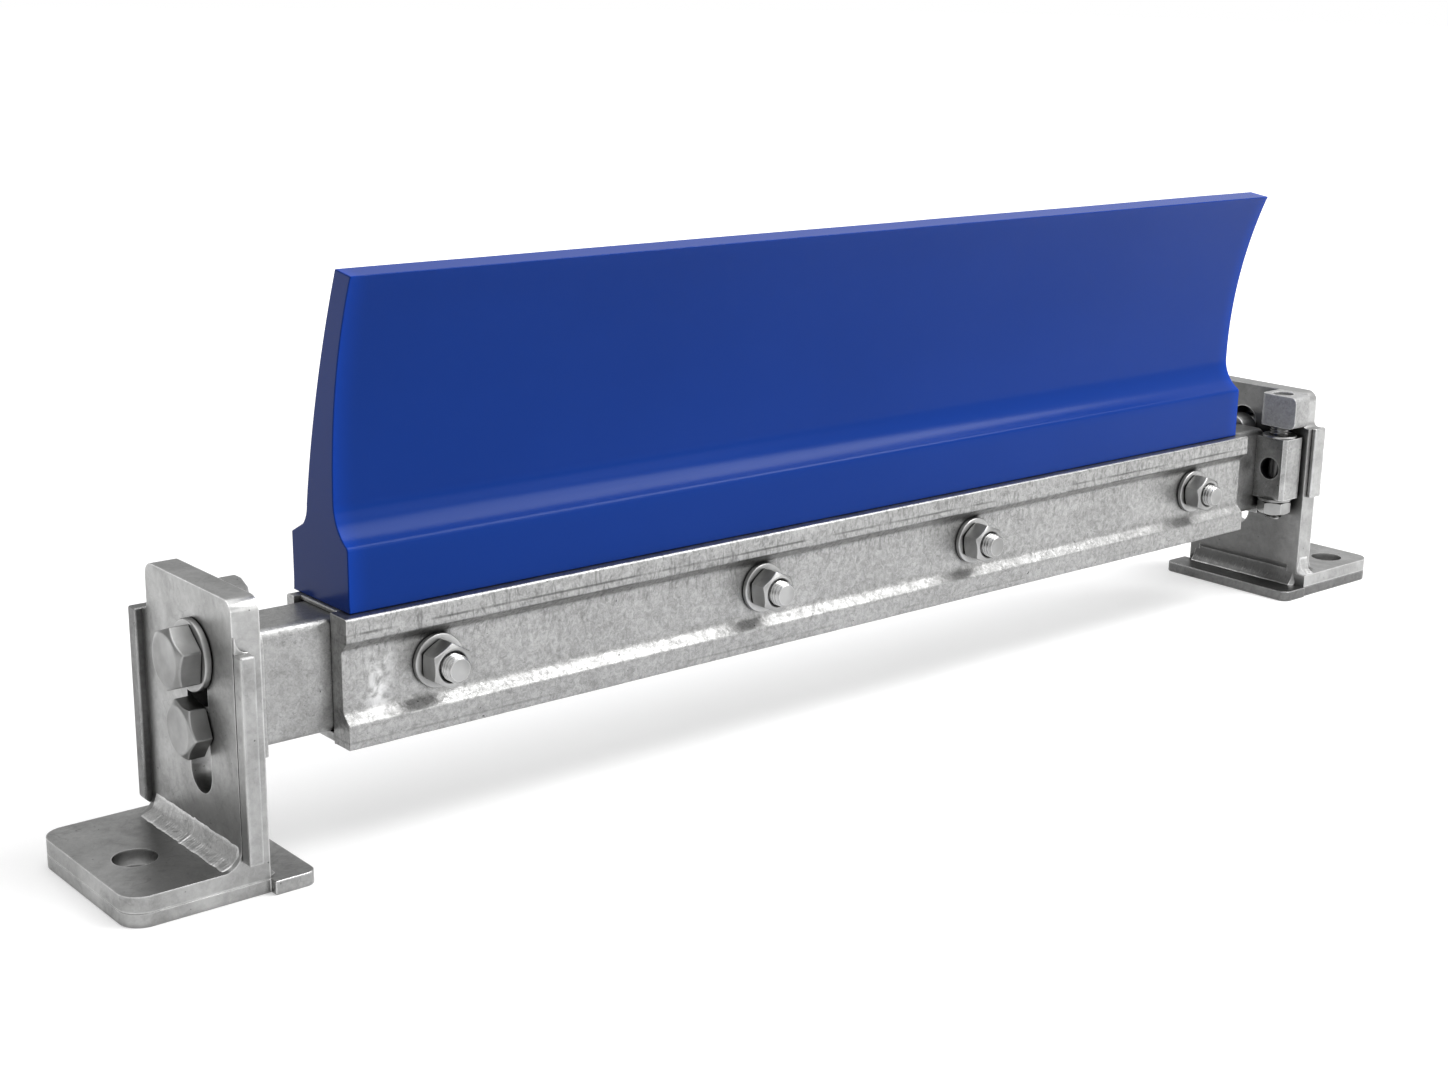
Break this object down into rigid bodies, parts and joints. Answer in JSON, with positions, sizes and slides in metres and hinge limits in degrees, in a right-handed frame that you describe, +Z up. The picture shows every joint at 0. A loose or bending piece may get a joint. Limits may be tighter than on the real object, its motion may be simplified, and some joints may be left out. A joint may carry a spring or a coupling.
{
  "type": "conveyor belt scraper",
  "caption": "Conveyor belt scraper: a blue moulded blade on a clamped steel crossbeam that two slotted angle brackets carry, with a screw that sets its height.",
  "frame": {"origin": "middle of the whole length and depth, on the face that the feet stand on; the blade's middle is 5 mm to the left of it, because the right-hand foot is longer", "axes": "+X along the blade to the end with the adjusting screw, -Y to the front with the clamp nuts, +Z up"},
  "size_m": [0.82, 0.095, 0.243],
  "materials": {
    "galvanised_steel": "satin",
    "zinc_fasteners": "satin",
    "urethane_blade": "gloss"
  },
  "bodies": {
    "brackets": {"left_base_plate": "galvanised_steel", "right_base_plate": "galvanised_steel", "left_angle_bracket": "galvanised_steel", "right_angle_bracket": "galvanised_steel", "left_front_strip": "galvanised_steel", "left_back_strip": "galvanised_steel", "right_front_strip": "galvanised_steel", "right_back_strip": "galvanised_steel", "right_adjuster_lug": "galvanised_steel", "left_stop_lug": "galvanised_steel"},
    "beam": {"crossbeam_tube": "galvanised_steel", "front_clamp_bar": "galvanised_steel", "back_clamp_bar": "galvanised_steel", "blade_seat_plate": "galvanised_steel", "bottom_plate": "galvanised_steel", "clamp_bolts": "zinc_fasteners", "clamp_head_washers": "zinc_fasteners", "clamp_nut_washers": "zinc_fasteners", "clamp_nuts": "zinc_fasteners", "crush_sleeves": "galvanised_steel", "blade": "urethane_blade", "left_slide_block": "galvanised_steel", "right_slide_block": "galvanised_steel", "upper_slot_bolts": "zinc_fasteners", "lower_slot_bolts": "zinc_fasteners", "upper_bolt_washers": "zinc_fasteners", "adjuster_block": "galvanised_steel", "thrust_washer": "zinc_fasteners"},
    "screw": {"adjusting_screw": "zinc_fasteners", "lock_washer": "zinc_fasteners", "lock_nut": "zinc_fasteners"}
  },
  "joints": [
    {"name": "beam_height", "type": "slide", "parent": "brackets", "child": "beam", "axis": [0, 0, 1], "range_m": [-0.01, 0.005]},
    {"name": "adjusting_screw_turn", "type": "hinge", "parent": "beam", "child": "screw", "pos_m": [0.3295, -0.0252, 0.079], "axis": [0, 0, 1], "range_deg": [-2060, 1031]}
  ],
  "couplings": [
    {"joint": "adjusting_screw_turn", "follows": "beam_height", "rad_per_m": 3590.4}
  ]
}
